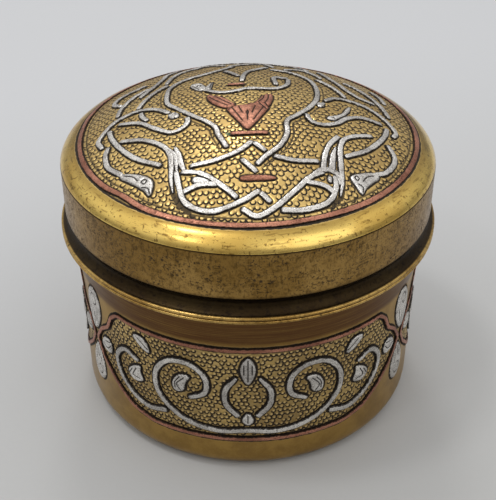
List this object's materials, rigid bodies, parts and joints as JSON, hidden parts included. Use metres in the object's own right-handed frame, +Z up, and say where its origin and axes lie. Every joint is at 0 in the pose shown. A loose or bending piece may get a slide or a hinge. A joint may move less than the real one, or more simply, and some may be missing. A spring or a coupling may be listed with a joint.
{
  "type": "lidded soap box",
  "caption": "Round brass box with a slip-on domed lid, inlaid all over with silver and copper straps, leaves and bordered panels.",
  "frame": {"origin": "centre of the flat bottom that the box stands on", "axes": "+Z up along the box's axis; the middle of the front panel faces -Y"},
  "size_m": [0.0886, 0.0886, 0.0757],
  "materials": {
    "brass": "aged, polished on the shoulder",
    "silver": "satin, worn",
    "copper": "satin, worn"
  },
  "bodies": {
    "box": {"cartouche_border_front": "copper", "cartouche_border_left": "copper", "cartouche_border_right": "copper", "cup": "brass", "palm_leaves_back": "silver", "palm_leaves_left": "silver", "palm_leaves_right": "silver", "rim_collar": "brass", "vine_front": "silver", "vine_left": "silver", "vine_right": "silver"},
    "lid": {"arch_left": "silver", "arch_right": "silver", "back_knot": "silver", "back_stem": "silver", "back_straps_left": "silver", "back_straps_right": "silver", "bird_scroll": "silver", "front_loop_left": "silver", "front_loop_right": "silver", "front_tie_left": "silver", "front_tie_right": "silver", "heart_point": "silver", "heart_strap_left": "silver", "heart_strap_right": "silver", "lid_border_ring": "copper", "lid_crown": "brass", "lid_skirt": "brass", "outer_curl_left": "silver", "outer_curl_right": "silver", "side_band_left": "silver", "side_band_right": "silver", "side_loop_left": "silver", "side_loop_right": "silver", "tie_bars": "copper", "winged_cup": "copper"}
  },
  "joints": [
    {"name": "lid_lift", "type": "slide", "parent": "box", "child": "lid", "axis": [0, 0, 1], "range_m": [0, 0.05]}
  ]
}
